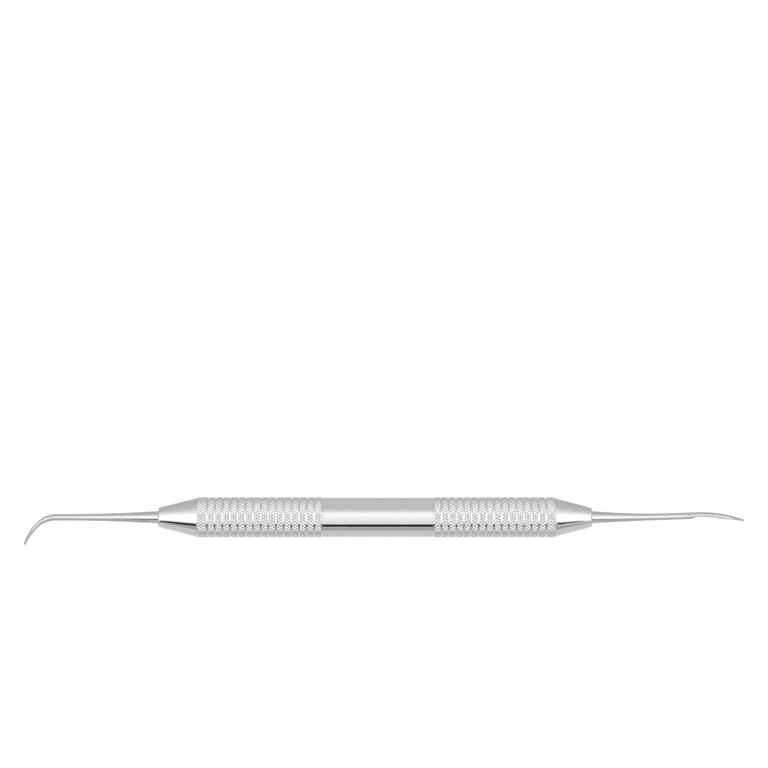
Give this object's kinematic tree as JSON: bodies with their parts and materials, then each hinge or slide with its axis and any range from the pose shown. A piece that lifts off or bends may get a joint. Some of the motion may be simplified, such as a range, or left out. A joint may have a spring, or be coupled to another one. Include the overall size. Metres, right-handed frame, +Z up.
{
  "type": "periosteal elevator",
  "caption": "Double-ended surgical elevator: round hollow handle with smooth band and knurled ringed grips, cones, thin shanks, a hooked blade and a slender leaf blade.",
  "frame": {"origin": "on the handle's axis, in the middle of its smooth band", "axes": "+X along the handle's axis towards the leaf blade, +Z up from the surface that the instrument lies on"},
  "size_m": [0.1736, 0.0107, 0.0096],
  "materials": {
    "handle_steel": "satin stainless steel, knurled in the grooved grips",
    "blade_steel": "polished stainless steel, ground on the inner faces of the blades"
  },
  "bodies": {
    "root": {"handle": "handle_steel", "hooked_blade": "blade_steel", "leaf_blade": "blade_steel"}
  },
  "joints": []
}
